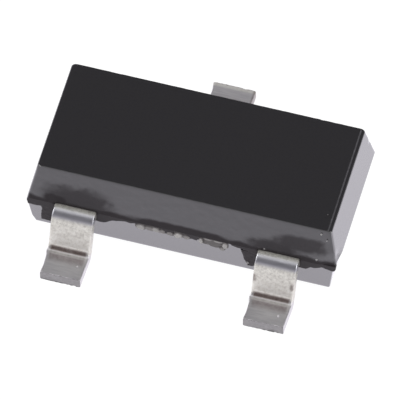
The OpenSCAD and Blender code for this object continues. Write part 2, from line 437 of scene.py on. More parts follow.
def painted_reflection_share(point):
    """Share of dull patch on the front wall that paints the leads' dark reflection, with ragged soft edges.
    """
    x, y, z = point
    if y > BODY_Y:
        return 0.0
    ragged = sum(amount * rough(point, scale) for amount, scale in REFLECTION_RAGGED)
    shares = [0.0]
    for middle_x, middle_z, half_x, half_z, strength in PAINTED_REFLECTIONS:
        reach = rounded_reach((x - middle_x) / half_x, (z - middle_z) / half_z, REFLECTION_POWER)
        shares.append(strength * (1 - smooth_step(reach + ragged, *REFLECTION_FADE)))
    return max(shares)


def upper_dull(point):
    """1 on the dull band just above the parting edge along both long walls, less on the painted reflection
    patches above it.
    """
    x, y, z = point
    band_top = PARTING_Z + BAND_RISE + BAND_WAVE * rough((x, y, 0.0), BAND_SCALE)
    band = 1 - smooth_step(z, band_top - BAND_FADE, band_top + BAND_FADE)
    return long_wall_share(point, upper_halves(z)[1]) * max(band, painted_reflection_share(point))


def lower_dull(point):
    """1 on the strip of resin along both long walls and on its end at the right front corner."""
    return max(strip_share(point) * long_wall_share(point, lower_halves(point[2])[1]), corner_lip(point))


def make_body(epoxy, polished, highlight_edge):
    """The moulding as one skin with three finishes, the third a painted highlight line along the right bevel.
    """
    low, high = lower_rings(), upper_rings()
    size = len(low[0])
    low_points = [p for ring in low for p in ring]
    high_points = [p for ring in high for p in ring]
    faces = loft_faces(len(low) + len(high), size)
    points = np.array([lower_point(p) for p in low_points] + [upper_point(p) for p in high_points])
    highlight_start = (len(low) + len(high) - len(HIGHLIGHT_RINGS)) * size
    face_materials = []
    for face in faces:
        middle = points[list(face)].mean(0)
        on_highlight_line = len(face) == 4 and highlight_start <= face[0] < highlight_start + size and middle[0] > BEVEL_X
        on_end = abs(middle[0]) > upper_halves(middle[2])[0] - END_MARGIN and middle[2] < BEVEL_Z
        on_lower_half = face[0] < len(low_points)
        face_materials.append(PAINTED_HIGHLIGHT if on_highlight_line else POLISHED if on_end or on_lower_half else SATIN)
    body = new_piece("body_moulding", points, faces, [epoxy, polished, highlight_edge], face_materials)
    # The dull mask also holds the patches that paint the leads' dark reflection
    set_mask(body, "dull", [lower_dull(p) for p in low_points] + [upper_dull(p) for p in high_points])
    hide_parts("moulded_body")


# Scabs of resin on the front wall

PATCH_STEP = 0.006
PATCH_SOFT = 0.012
PATCH_SUNK = 0.015


def front_wall(x, drop):
    """Point and outward direction on the lower front wall, drop millimetres below the parting edge."""
    z = PARTING_Z - drop
    point = np.array((x, BODY_Y - lower_halves(z)[1], z))
    return point, np.array((0.0, -math.cos(LOWER_SIDE_DRAFT), -math.sin(LOWER_SIDE_DRAFT)))


def grid_faces(rows, columns):
    """Quads of a closed slab: an outer grid, an inner grid after it, and the rim between them."""
    count = rows * columns
    faces = []
    for i in range(rows - 1):
        for j in range(columns - 1):
            a, b = i * columns + j, (i + 1) * columns + j
            faces.append((a, b, b + 1, a + 1))
            faces.append((count + a + 1, count + b + 1, count + b, count + a))
    rim = [i * columns for i in range(rows)]
    rim += [(rows - 1) * columns + j for j in range(1, columns)]
    rim += [i * columns + columns - 1 for i in range(rows - 2, -1, -1)]
    rim += list(range(columns - 2, 0, -1))
    for a, b in zip(rim, rim[1:] + rim[:1]):
        faces.append((b, a, count + a, count + b))
    return faces


def make_patch(name, x_range, drop_range, lift, full_lift, material):
    """Scab that stands out of the front wall by lift(x, drop), or lies under it where that is negative."""
    columns = int((x_range[1] - x_range[0]) / PATCH_STEP) + 2
    rows = int((drop_range[1] - drop_range[0]) / PATCH_STEP) + 2
    outer, inner, relief = [], [], []
    for drop in np.linspace(*drop_range, rows):
        for x in np.linspace(*x_range, columns):
            point, outward = front_wall(x, drop)
            height = lift(x, drop)
            outer.append(point + outward * height)
            inner.append(point - outward * PATCH_SUNK)
            relief.append(height / full_lift)
    patch = new_piece(name, outer + inner, grid_faces(rows, columns), [material])
    set_mask(patch, "relief", relief + [0.0] * len(inner))


# Lumps of the broken gate: place along X, drop below the parting edge, half sizes and height in millimetres
GATE_LUMPS = (
    (-0.386, 0.075, 0.066, 0.075, 0.021),
    (-0.307, 0.075, 0.074, 0.065, 0.016),
    (-0.244, 0.068, 0.060, 0.070, 0.020),
    (-0.190, 0.078, 0.054, 0.062, 0.016),
    (-0.115, 0.082, 0.062, 0.056, 0.015),
    (-0.035, 0.072, 0.066, 0.075, 0.024),
    (0.045, 0.082, 0.060, 0.058, 0.017),
    (0.290, 0.082, 0.155, 0.110, 0.010),
    (0.178, 0.073, 0.032, 0.074, 0.022),
    (0.245, 0.018, 0.075, 0.030, 0.018),
    (0.345, 0.020, 0.075, 0.030, 0.019),
    (0.402, 0.070, 0.042, 0.080, 0.023),
    (0.375, 0.140, 0.040, 0.050, 0.018),
)
GATE_HALF_WIDTH = 0.45
GATE_REACH = 0.24
GATE_TALLEST = 0.025
LUMP_POWER = 2.5
LUMP_RISE = (0.0, 0.6)
LUMP_GRAIN = 0.17
LUMP_SCALE = 22
LUMP_SEED = 3.0


def make_gate(material):
    """Broken stub of the moulding gate: a row of lumps with a larger hollow block at its right end."""

    def lift(x, drop):
        ragged = LUMP_GRAIN * rough((x, drop, LUMP_SEED), LUMP_SCALE)
        heights = [-PATCH_SOFT]
        for middle, depth, half_x, half_drop, height in GATE_LUMPS:
            reach = rounded_reach((x - middle) / half_x, (drop - depth) / half_drop, LUMP_POWER)
            share = float(smooth_step(1 - reach + ragged, *LUMP_RISE))
            heights.append(share * (height + PATCH_SOFT) - PATCH_SOFT)
        return max(heights)

    span = (-GATE_HALF_WIDTH, GATE_HALF_WIDTH)
    make_patch("broken_gate", span, (0.0, GATE_REACH), lift, GATE_TALLEST, material)


# Resin webs beside the leads, the long ones left of each lead also painted shade for the lead's reflected
# shadow: limits along X at the top, their shifts at the foot, and length downwards
WEB_LAP = 0.02
WEBS_AND_SHADE = (
    (BASE_X - LEAD_HALF_WIDTH - 0.130, BASE_X - LEAD_HALF_WIDTH + WEB_LAP, -0.02, 0.0, 0.27),
    (BASE_X + LEAD_HALF_WIDTH - WEB_LAP, BASE_X + LEAD_HALF_WIDTH + 0.13, 0.0, -0.06, 0.06),
    (EMITTER_X - LEAD_HALF_WIDTH - 0.165, EMITTER_X - LEAD_HALF_WIDTH + WEB_LAP, 0.045, -0.075, 0.25),
    (EMITTER_X + LEAD_HALF_WIDTH - WEB_LAP, EMITTER_X + LEAD_HALF_WIDTH + 0.11, 0.0, -0.05, 0.06),
)
WEB_PROUD = 0.010
WEB_GRAIN = 0.003
WEB_GRAIN_SCALE = 18
WEB_RAGGED = 0.008
WEB_RAGGED_SCALE = 20
# Room round a web in its patch
WEB_MARGIN = 0.02
WEB_TOP_MARGIN = 0.03


def make_web_and_shade(number, left, right, left_shift, right_shift, length, material):
    """Thin web of resin that crept down the wall beside a lead; the long ones are also painted shade for the
    lead's reflected shadow.
    """

    def lift(x, drop):
        share = (drop - FRAME_DROP) / length
        ragged = WEB_RAGGED * rough((x, drop, number), WEB_RAGGED_SCALE)
        beside = min(x - left - left_shift * share, right + right_shift * share - x)
        inside = min(beside, FRAME_DROP + length - drop)
        soft = float(np.clip((inside + ragged) / PATCH_SOFT, -1, 1))
        return WEB_PROUD * soft + WEB_GRAIN * max(soft, 0) * rough((x, drop, number), WEB_GRAIN_SCALE)

    span = (min(left, left + left_shift) - WEB_MARGIN, right + WEB_MARGIN)
    drops = (FRAME_DROP - WEB_TOP_MARGIN, FRAME_DROP + length + WEB_MARGIN)
    make_patch(f"resin_web_and_shade_{number}", span, drops, lift, WEB_PROUD + WEB_GRAIN, material)


# Formed leads: steps of their mesh

SHOULDER_STEPS = 40
BEND_STEPS = 16
LEG_STEPS = 18
FOOT_STEPS = 32
EDGE_STEPS = 3
ACROSS_STEPS = 26

# Side view of a lead in millimetres, with a wider hollow above the foot than in the solids
OUTER_RADIUS = BEND_RADIUS + LEAD_THICKNESS
BEND_DROP = (OUTER_RADIUS + BEND_RADIUS) * (1 - math.cos(LEG_SLOPE))
LEG_DROP = LEAD_BOTTOM - BEND_DROP
FOOT_START = LEG_START + (OUTER_RADIUS + BEND_RADIUS) * math.sin(LEG_SLOPE) + LEG_DROP / math.tan(LEG_SLOPE)
HOLLOW_RADIUS = 0.07
TOE_START = FOOT_START + (HOLLOW_RADIUS - BEND_RADIUS) * math.tan(LEG_SLOPE / 2)
TIP_STEP = 0.001
FOOT_END = LEAD_END - TIP_STEP
LEG_ANGLE = 1.5 * math.pi - LEG_SLOPE
UPPER_CENTRE = np.array((LEG_START, LEAD_BOTTOM - BEND_RADIUS))
HOLLOW_CENTRE = np.array((TOE_START, LEAD_THICKNESS + HOLLOW_RADIUS))
SOLE_CENTRE = np.array((FOOT_START, LEAD_THICKNESS + BEND_RADIUS))

# Rounded edges of a lead, and extra half width of its foot
EDGE_ROUND = 0.012
FLARE = 0.006

# End of a lead: half width, shift across, matt burr on top and painted shade on one side
FRONT_TIP = (LEAD_HALF_WIDTH - 0.003, 0.0, 0.0, 0.0)
BACK_TIP = (LEAD_HALF_WIDTH + 0.009, -0.014, 0.6, 0.6)

# Finishes of a lead, and where along a bend's turn they come and go
LEAD_MASKS = ("leg", "low_leg", "bend", "crease", "pale", "line")
MATT_SHOULDER = 0.95
SHOULDER_FALL = (0.0, 0.25)
MATT_RISE = (0.55, 0.8)
MATT_FALL = (0.3, 0.7)
FLARE_RISE = (0.2, 0.8)
CREASE_RISE = (0.16, 0.42)
CREASE_FALL = (0.68, 0.90)
PALE_RISE = (0.78, 0.94)

# The same on a foot, in millimetres from its start, or from its end for the burr
PALE_FALL = (0.004, 0.020)
LINE_RISE = (0.006, 0.026)
LINE_FALL = (0.04, 0.13)
BURR_FALL = (0.025, 0.050)

# Torn end of a foot, and its left side nipped in
TEAR_START = LEAD_END - 0.05
TEAR_DEPTH = 0.012
TEAR_SCALE = 26
TEAR_SEED = 5.0
FOOT_NIP = 0.010
NIP_RISE = (TOE_START, TOE_START + 0.06)
NIP_FALL = (LEAD_END - 0.10, LEAD_END)
NIP_SIDE = (0.08, 0.18)

# Scuffs at the edges of the right front leg: place along X and in height
EDGE_MARKS = ((0.725, 0.275), (1.078, 0.258))
MARK_WIDTH = 0.022
MARK_HEIGHT = 0.060
MARK_STRENGTH = 0.75
MARK_FADE = (0.3, 1.1)
MARK_RAGGED = 0.3
MARK_SCALE = 40

# Painted shade in the crease above a foot, clear of the lead's edges
CREASE_INSET = 0.03
CREASE_RAGGED = 0.2
CREASE_SCALE = 20

# Ragged end of the resin on a lead, from the wall outwards
BLEED_REACH = -0.014
BLEED_RAGGED = 0.004
BLEED_SCALE = 30
BLEED_FALL = (-0.006, 0.003)


def ray(angle):
    return np.array((math.cos(angle), math.sin(angle)))


def station(top, bottom, half_width=LEAD_HALF_WIDTH, **shares):
    """Cross-section of a lead: top point, bottom point, half width and the share of each finish."""
    return np.array(top), np.array(bottom), half_width, [float(shares.get(name, 0)) for name in LEAD_MASKS]


def inner_stations(inner_widths, root):
    """The pieces inside the body, by start, end and half width, and the shoulder after them."""
    for start, end, half_width in inner_widths:
        for distance in (start, end):
            yield station((distance, LEAD_TOP), (distance, LEAD_BOTTOM), half_width)
    for distance in np.linspace(root, LEG_START, SHOULDER_STEPS)[:-1]:
        yield station((distance, LEAD_TOP), (distance, LEAD_BOTTOM), bend=1, leg=MATT_SHOULDER)


def upper_bend_stations():
    for turn in np.arange(BEND_STEPS + 1) / BEND_STEPS:
        out = ray(math.pi / 2 - LEG_SLOPE * turn)
        # Mid-turn, where the matt share is low, the tin shows the painted shade of the bend
        matt = max(MATT_SHOULDER * (1 - smooth_step(turn, *SHOULDER_FALL)), smooth_step(turn, *MATT_RISE))
        yield station(UPPER_CENTRE + OUTER_RADIUS * out, UPPER_CENTRE + BEND_RADIUS * out, bend=1, leg=matt)


def leg_stations():
    """The straight leg between the two bends."""
    start, end = ray(math.pi / 2 - LEG_SLOPE), ray(LEG_ANGLE)
    leg_top, leg_bottom = UPPER_CENTRE + OUTER_RADIUS * start, UPPER_CENTRE + BEND_RADIUS * start
    top_run = HOLLOW_CENTRE + HOLLOW_RADIUS * end - leg_top
    bottom_run = SOLE_CENTRE + OUTER_RADIUS * end - leg_bottom
    for share in np.arange(1, LEG_STEPS) / LEG_STEPS:
        # low_leg rises down the leg, so the painted highlight of the lighter tin grows towards the foot
        yield station(leg_top + top_run * share, leg_bottom + bottom_run * share, leg=1, low_leg=share)


def lower_bend_stations():
    for turn in np.arange(BEND_STEPS + 1) / BEND_STEPS:
        out = ray(LEG_ANGLE + LEG_SLOPE * turn)
        half_width = LEAD_HALF_WIDTH + FLARE * smooth_step(turn, *FLARE_RISE)
        yield station(
            HOLLOW_CENTRE + HOLLOW_RADIUS * out, SOLE_CENTRE + OUTER_RADIUS * out, half_width,
            leg=1 - smooth_step(turn, *MATT_FALL), low_leg=1,
            crease=window(turn, CREASE_RISE, CREASE_FALL), pale=smooth_step(turn, *PALE_RISE))


def foot_stations(tip_half_width, tip_matt):
    for share in np.arange(1, FOOT_STEPS + 1) / FOOT_STEPS:
        on_top = TOE_START + (FOOT_END - TOE_START) * share
        on_sole = FOOT_START + (FOOT_END - FOOT_START) * share
        past = on_top - TOE_START
        half_width = tip_half_width * share + (LEAD_HALF_WIDTH + FLARE) * (1 - share)
        burr = tip_matt * (1 - smooth_step(LEAD_END - on_top, *BURR_FALL))
        yield station(
            (on_top, LEAD_THICKNESS), (on_sole, 0), half_width, leg=burr, low_leg=1,
            pale=1 - smooth_step(past, *PALE_FALL), line=window(past, LINE_RISE, LINE_FALL))


def lead_ring(top, bottom, half_width, inset=0.0):
    """Rounded rectangle between two points, as (across, distance, height) in order round it."""
    up = (top - bottom) / np.linalg.norm(top - bottom)
    middle = (top + bottom) / 2
    half_height = np.linalg.norm(top - bottom) / 2 - inset
    half_width = half_width - inset
    radius = EDGE_ROUND - inset / 2
    flat_x, flat_h = half_width - radius, half_height - radius
    section = []
    for quarter, (sx, sh) in enumerate(((1, 1), (-1, 1), (-1, -1), (1, -1))):
        for i in range(EDGE_STEPS + 1):
            a = math.radians(90 * quarter + 90 * i / EDGE_STEPS)
            section.append((sx * flat_x + radius * math.cos(a), sh * flat_h + radius * math.sin(a)))
        if quarter in (0, 2):
            turn = 1 if quarter == 0 else -1
            for x in np.linspace(turn * flat_x, -turn * flat_x, ACROSS_STEPS + 1)[1:-1]:
                section.append((x, sh * half_height))
    return [(x, *(middle + h * up)) for x, h in section]


def worn_point(place, x, facing, tip_shift):
    """A point of a lead, with its end torn by the cutting tool and the left side of its foot nipped in."""
    across, distance, height = place
    nipped = window(distance, NIP_RISE, NIP_FALL) * smooth_step(across * facing, *NIP_SIDE)
    across += tip_shift * smooth_step(distance, LEG_START, LEAD_END) - facing * FOOT_NIP * nipped
    tear = TEAR_DEPTH * abs(rough((x + across, height, TEAR_SEED), TEAR_SCALE))
    distance -= smooth_step(distance, TEAR_START, LEAD_END) * tear
    return x - across * facing, facing * distance, height


def edge_mark(point):
    """Share of dark soil at the scuffed edges of the right front leg."""
    x, y, z = point
    if y > 0:
        return 0.0
    reach = min(math.hypot((x - mx) / MARK_WIDTH, (z - mz) / MARK_HEIGHT) for mx, mz in EDGE_MARKS)
    # Share of dark dirt at the scuffed edges of the right front leg.
    return MARK_STRENGTH * (1 - smooth_step(reach + MARK_RAGGED * rough(point, MARK_SCALE), *MARK_FADE))


def bleed_share(point, facing):
    """1 where resin covers a lead, inside the body and up to its wall."""
    wall = BODY_HALF_WIDTH + facing * BODY_Y
    edge = wall + BLEED_REACH + BLEED_RAGGED * rough(point, BLEED_SCALE)
    return 1 - smooth_step(facing * point[1] - edge, *BLEED_FALL)


def finish_shares(place, point, shares, facing, tip_side_shade):
    """Share of each finish and painted shade at a point of a lead, with its place before wear."""
    across, distance, _ = place
    leg, low_leg, bend, crease, pale, line = shares
    inset = smooth_step(LEAD_HALF_WIDTH - abs(across), CREASE_INSET / 2, CREASE_INSET)
    on_side = smooth_step(-across, LEAD_HALF_WIDTH - EDGE_ROUND, LEAD_HALF_WIDTH)
    on_foot = smooth_step(distance, FOOT_START, TOE_START)
    ragged_crease = min(1.0 + CREASE_RAGGED * rough(point, CREASE_SCALE), 1.0)
    # Dark share: painted shade in the crease and on the back foot's right side, and real scuffs at the leg's
    # edges
    soil_and_shade = max(crease * inset * ragged_crease, leg * edge_mark(point), tip_side_shade * on_side * on_foot)
    return leg, low_leg, bend, soil_and_shade, pale * inset, line * inset, bleed_share(point, facing)


def make_lead(name, node, x, facing, inner_widths, root, tip, materials):
    """Lead along the direction facing (-1 front, 1 back), with the wider pieces that lie inside the body."""
    tip_half_width, tip_shift, tip_matt, tip_side_shade = tip
    stations = [*inner_stations(inner_widths, root), *upper_bend_stations(), *leg_stations()]
    stations += [*lower_bend_stations(), *foot_stations(tip_half_width, tip_matt)]
    rings = [lead_ring(top, bottom, half_width) for top, bottom, half_width, _ in stations]
    end_top, end_bottom = np.array((LEAD_END, LEAD_THICKNESS)), np.array((LEAD_END, 0.0))
    rings.append(lead_ring(end_top, end_bottom, tip_half_width, TIP_STEP))
    ring_shares = [shares for _, _, _, shares in stations] + [[0.0] * len(LEAD_MASKS)]
    points, masks = [], []
    for ring, shares in zip(rings, ring_shares):
        for place in ring:
            points.append(worn_point(place, x, facing, tip_shift))
            masks.append(finish_shares(place, points[-1], shares, facing, tip_side_shade))
    size = len(rings[0])
    faces = loft_faces(len(rings), size)
    on_cut = [1 if min(face) >= (len(rings) - 1) * size else 0 for face in faces]
    lead = new_piece(name, points, faces, materials, on_cut)
    for mask, values in zip((*LEAD_MASKS, "bleed"), zip(*masks)):
        set_mask(lead, mask, values)
    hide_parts(node)


# Dust: place in millimetres, radius and brightness
DUST = (
    ((1.290, -0.440, BODY_TOP), 0.006, 0.12),
    ((1.283, -0.638, 0.850), 0.008, 0.8),
    ((1.340, -0.652, 0.788), 0.006, 0.8),
    ((1.258, -0.692, 0.519), 0.012, 0.6),
    ((0.771, -0.695, 0.507), 0.009, 0.5),
    ((0.608, -0.668, 0.175), 0.014, 0.9),
    ((1.014, -1.109, LEAD_THICKNESS), 0.013, 1.0),
    ((-0.872, -1.079, LEAD_THICKNESS), 0.012, 0.9),
)
SPECK_RINGS = 5
SPECK_SIDES = 8
SPECK_UNEVEN = 0.35
SPECK_SCALE = 1.7


def make_dust(material):
    """Uneven grains of dust that sit half sunk in the surface under them."""
    points, faces, shares = [], [], []
    for place, radius, brightness in DUST:
        start = len(points)
        shares += [brightness] * (SPECK_RINGS * SPECK_SIDES)
        for i in range(SPECK_RINGS):
            tilt = math.pi * (i + 0.5) / SPECK_RINGS
            for j in range(SPECK_SIDES):
                level = math.sin(tilt) * ray(2 * math.pi * j / SPECK_SIDES)
                out = np.array((*level, -math.cos(tilt)))
                uneven = 1 + SPECK_UNEVEN * rough(np.array(place) + out, SPECK_SCALE)
                points.append(np.array(place) + radius * out * uneven)
        faces += [tuple(start + k for k in face) for face in loft_faces(SPECK_RINGS, SPECK_SIDES)]
    dust = new_piece("dust_specks", points, faces, [material])
    set_mask(dust, "brightness", shares)


# Node helpers

def new_material(name):
    material = bpy.data.materials.new(name)
    material.use_nodes = True
    nodes, links = material.node_tree.nodes, material.node_tree.links
    return material, nodes, links, nodes["Principled BSDF"]


def add_noise(nodes, links, scale, detail=4.0, roughness=0.55, stretch=1.0):
    """Noise on the piece's own coordinates, with scale features in each millimetre, times stretch along X."""
    place = nodes.new("ShaderNodeTexCoord")
    spread = nodes.new("ShaderNodeMapping")
    spread.inputs["Scale"].default_value = (stretch, 1, 1)
    texture = nodes.new("ShaderNodeTexNoise")
    texture.inputs["Scale"].default_value = scale / MM
    texture.inputs["Detail"].default_value = detail
    texture.inputs["Roughness"].default_value = roughness
    links.new(place.outputs["Object"], spread.inputs["Vector"])
    links.new(spread.outputs["Vector"], texture.inputs["Vector"])
    return texture.outputs["Fac"]


def add_ramp(nodes, links, source, stops):
    ramp = nodes.new("ShaderNodeValToRGB")
    elements = ramp.color_ramp.elements
    while len(elements) < len(stops):
        elements.new(0.5)
    for element, (place, colour) in zip(elements, stops):
        element.position = place
        element.color = (*colour, 1.0)
    links.new(source, ramp.inputs["Fac"])
    return ramp.outputs["Color"]


def add_range(nodes, links, source, low, high, start=0.0, end=1.0, smooth=False):
    """Number that goes from low to high as the source goes from start to end."""
    spread = nodes.new("ShaderNodeMapRange")
    spread.interpolation_type = "SMOOTHSTEP" if smooth else "LINEAR"
    spread.inputs["From Min"].default_value = start
    spread.inputs["From Max"].default_value = end
    spread.inputs["To Min"].default_value = low
    spread.inputs["To Max"].default_value = high
    links.new(source, spread.inputs["Value"])
    return spread.outputs["Result"]


def add_bump(nodes, links, source, depth_mm, strength, shader):
    bump = nodes.new("ShaderNodeBump")
    bump.inputs["Distance"].default_value = depth_mm * MM
    bump.inputs["Strength"].default_value = strength
    links.new(source, bump.inputs["Height"])
    links.new(bump.outputs["Normal"], shader.inputs["Normal"])


def add_mask(nodes, name):
    mask = nodes.new("ShaderNodeAttribute")
    mask.attribute_name = name
    return mask.outputs["Fac"]


def add_mix(nodes, links, share, first, second, kind="RGBA"):
    """Blend of two colours or numbers by a share from 0 to 1."""
    mix = nodes.new("ShaderNodeMix")
    mix.data_type = kind
    sockets = [s for s in mix.inputs if s.type == ("RGBA" if kind == "RGBA" else "VALUE")]
    first_socket, second_socket = sockets[-2:]
    links.new(share, mix.inputs[0])
    links.new(first, first_socket)
    links.new(second, second_socket)
    return [s for s in mix.outputs if s.enabled][0]


def add_maximum(nodes, links, first, second):
    """The larger of two numbers, the second perhaps a plain one."""
    larger = nodes.new("ShaderNodeMath")
    larger.operation = "MAXIMUM"
    links.new(first, larger.inputs[0])
    if isinstance(second, float):
        larger.inputs[1].default_value = second
    else:
        links.new(second, larger.inputs[1])
    return larger.outputs[0]


# Materials: colours over the range of a noise, or of the mask that the material reads

def two_tone(dark, light):
    """Stops over the range that most of a noise lies in."""
    return (0.3, dark), (0.7, light)


EPOXY_STOPS = two_tone((0.0060, 0.0053, 0.0064), (0.0090, 0.0080, 0.0096))
DULL_STOPS = two_tone((0.013, 0.0098, 0.0112), (0.027, 0.0215, 0.0235))
# Paler colour of the painted highlight line on the right bevel's edge
HIGHLIGHT_LINE_STOPS = two_tone((0.055, 0.053, 0.058), (0.125, 0.122, 0.13))
# Pale colour of the broken resin on the lumps, darkened at low relief as painted shade in the hollows
BROKEN_RESIN_AND_SHADE_STOPS = ((0.0, (0.11, 0.10, 0.096)), (0.40, (0.17, 0.16, 0.152)),
                (0.65, (0.33, 0.315, 0.30)), (0.90, (0.62, 0.61, 0.575)))
PLAIN_TIN = two_tone((0.655, 0.645, 0.65), (0.78, 0.765, 0.763))
# Darker, bluer copy of the tin for the middle of the upper bend: painted shade
SHADED_BEND_TIN = two_tone((0.52, 0.525, 0.555), (0.61, 0.61, 0.64))
SPOTTED_TIN = ((0.32, (0.60, 0.585, 0.52)), (0.48, (0.78, 0.77, 0.69)), (0.66, (0.95, 0.94, 0.85)))
# Lighter tin low on the leg: a painted highlight that grows towards the foot; also the colour of a lead's
# matt burr
LIGHTER_TIN = ((0.32, (0.78, 0.75, 0.67)), (0.48, (0.92, 0.90, 0.81)), (0.66, (0.99, 0.98, 0.91)))
CHALKY_TIN = two_tone((0.44, 0.425, 0.41), (0.60, 0.58, 0.56))
STAINED_TIN = two_tone((0.33, 0.295, 0.295), (0.47, 0.43, 0.435))
# Dark brown of the painted shade in the crease above a foot and on the back foot's right side, and of the
# real scuffs at the leg's edges
SOIL_AND_SHADE_STOPS = two_tone((0.165, 0.130, 0.115), (0.26, 0.21, 0.19))
CUT_STOPS = two_tone((0.27, 0.265, 0.26), (0.38, 0.375, 0.365))
PALE_DUST = two_tone((0.60, 0.59, 0.58), (0.85, 0.84, 0.83))
FAINT_DUST = two_tone((0.03, 0.03, 0.03), (0.06, 0.06, 0.06))

RESIN_SCALE = 45
DULL_ROUGH = (0.60, 0.80)
COAT_ROUGH = 0.10
LEG_METALLIC = 0.45


def mould_material(name, roughness, bump, ior, coat_ior):
    """Black moulding with a sheen, dull where resin has bled along the lead frame and on the patches that
    paint the leads' dark reflection.
    """
    material, nodes, links, shader = new_material(name)
    grain = add_noise(nodes, links, RESIN_SCALE, detail=6)
    bled = add_mask(nodes, "dull")
    sheen = add_ramp(nodes, links, grain, EPOXY_STOPS)
    dull = add_ramp(nodes, links, grain, DULL_STOPS)
    links.new(add_mix(nodes, links, bled, sheen, dull), shader.inputs["Base Color"])
    sheen_rough = add_range(nodes, links, grain, *roughness)
    dull_rough = add_range(nodes, links, grain, *DULL_ROUGH)
    links.new(add_mix(nodes, links, bled, sheen_rough, dull_rough, "FLOAT"), shader.inputs["Roughness"])
    links.new(add_range(nodes, links, bled, 1.0, 0.0), shader.inputs["Coat Weight"])
    add_bump(nodes, links, grain, *bump, shader)
    shader.inputs["IOR"].default_value = ior
    shader.inputs["Coat IOR"].default_value = coat_ior
    shader.inputs["Coat Roughness"].default_value = COAT_ROUGH
    return material


def epoxy_material():
    """Satin black of the top and the long walls of the upper half."""
    return mould_material("black_epoxy", roughness=(0.26, 0.36), bump=(0.0006, 0.5), ior=1.45, coat_ior=1.68)


def polished_material():
    """Glossier black of the end walls and the lower half."""
    return mould_material("glossy_epoxy", roughness=(0.14, 0.20), bump=(0.0002, 0.3), ior=1.5, coat_ior=2.36)


def highlight_edge_material():
    """Paler line along the right bevel's edge: a painted highlight."""
    material, nodes, links, shader = new_material("painted_highlight_edge")
    grain = add_noise(nodes, links, 30, detail=5)
    links.new(add_ramp(nodes, links, grain, HIGHLIGHT_LINE_STOPS), shader.inputs["Base Color"])
    links.new(add_range(nodes, links, grain, 0.45, 0.6), shader.inputs["Roughness"])
    return material


def dull_resin_material():
    """Thin rough resin that has bled out of the mould, on webs that are partly painted shade."""
    material, nodes, links, shader = new_material("dull_resin")
    grain = add_noise(nodes, links, RESIN_SCALE, detail=6)
    links.new(add_ramp(nodes, links, grain, DULL_STOPS), shader.inputs["Base Color"])
    links.new(add_range(nodes, links, grain, *DULL_ROUGH), shader.inputs["Roughness"])
    add_bump(nodes, links, grain, 0.0015, 0.5, shader)
    return material


def broken_resin_material():
    """Pale fractured resin, darker where its relief is low: painted shade in its hollows."""
    material, nodes, links, shader = new_material("broken_resin")
    links.new(add_ramp(nodes, links, add_mask(nodes, "relief"), BROKEN_RESIN_AND_SHADE_STOPS), shader.inputs["Base Color"])
    grain = add_noise(nodes, links, 60, detail=6, roughness=0.65)
    links.new(add_range(nodes, links, grain, 0.5, 0.8), shader.inputs["Roughness"])
    add_bump(nodes, links, grain, 0.004, 0.7, shader)
    return material


def tin_material():
    """Satin tin plate, mottled on the leg and under resin in the body, with painted shade in the crease above
    the foot, on the upper bend and on the back foot's right side, and a painted highlight low on the leg.
    """
    material, nodes, links, shader = new_material("tin_plate")
    mottle = add_noise(nodes, links, 34, detail=4, roughness=0.6)
    faint = add_noise(nodes, links, 16, detail=3)
    streak = add_noise(nodes, links, 60, detail=3, stretch=0.12)
    leg, low_leg, bend, crease, pale, line = (add_mask(nodes, name) for name in LEAD_MASKS)
    bleed = add_mask(nodes, "bleed")

    plain, shaded_bend = (add_ramp(nodes, links, streak, stops) for stops in (PLAIN_TIN, SHADED_BEND_TIN))
    spotted, lighter, chalky, stained, soil_and_shade, resin = (
        add_ramp(nodes, links, mottle, stops)
        for stops in (SPOTTED_TIN, LIGHTER_TIN, CHALKY_TIN, STAINED_TIN, SOIL_AND_SHADE_STOPS, DULL_STOPS))
    # The bend takes the darker tin of the painted bend shade
    colour = add_mix(nodes, links, bend, plain, shaded_bend)
    # The leg turns to the lighter tin towards its foot: a painted highlight
    colour = add_mix(nodes, links, leg, colour, add_mix(nodes, links, low_leg, spotted, lighter))
    for share, finish in ((pale, chalky), (line, stained), (crease, soil_and_shade), (bleed, resin)):
        colour = add_mix(nodes, links, share, colour, finish)
    links.new(colour, shader.inputs["Base Color"])

    bare = add_range(nodes, links, bleed, 1.0, 0.0)
    matt = add_range(nodes, links, bleed, LEG_METALLIC, 0.0)
    links.new(add_mix(nodes, links, leg, bare, matt, "FLOAT"), shader.inputs["Metallic"])
    satin = add_range(nodes, links, faint, 0.36, 0.44)
    smooth = add_range(nodes, links, faint, 0.29, 0.35)
    satin = add_mix(nodes, links, bend, satin, smooth, "FLOAT")
    dull = add_range(nodes, links, mottle, *DULL_ROUGH)
    links.new(add_mix(nodes, links, bleed, satin, dull, "FLOAT"), shader.inputs["Roughness"])

    even = add_range(nodes, links, faint, 0.45, 0.55)
    uneven = add_range(nodes, links, mottle, 0.36, 0.64)
    add_bump(nodes, links, add_mix(nodes, links, leg, even, uneven, "FLOAT"), 0.0016, 0.5, shader)
    return material


def cut_end_material():
    """Bare sheared end of a lead, duller and darker than the plating."""
    material, nodes, links, shader = new_material("sheared_end")
    tear = add_noise(nodes, links, 40, detail=5, roughness=0.65)
    links.new(add_ramp(nodes, links, tear, CUT_STOPS), shader.inputs["Base Color"])
    links.new(add_range(nodes, links, tear, 0.42, 0.60), shader.inputs["Roughness"])
    add_bump(nodes, links, tear, 0.002, 0.5, shader)
    shader.inputs["Metallic"].default_value = 1.0
    return material


def dust_material():
    """Pale dust, darker where a grain is faint."""
    material, nodes, links, shader = new_material("pale_dust")
    grain = add_noise(nodes, links, 80)
    pale = add_ramp(nodes, links, grain, PALE_DUST)
    faint = add_ramp(nodes, links, grain, FAINT_DUST)
    brightness = add_mask(nodes, "brightness")
    links.new(add_mix(nodes, links, brightness, faint, pale), shader.inputs["Base Color"])
    shader.inputs["Roughness"].default_value = 0.8
    return material


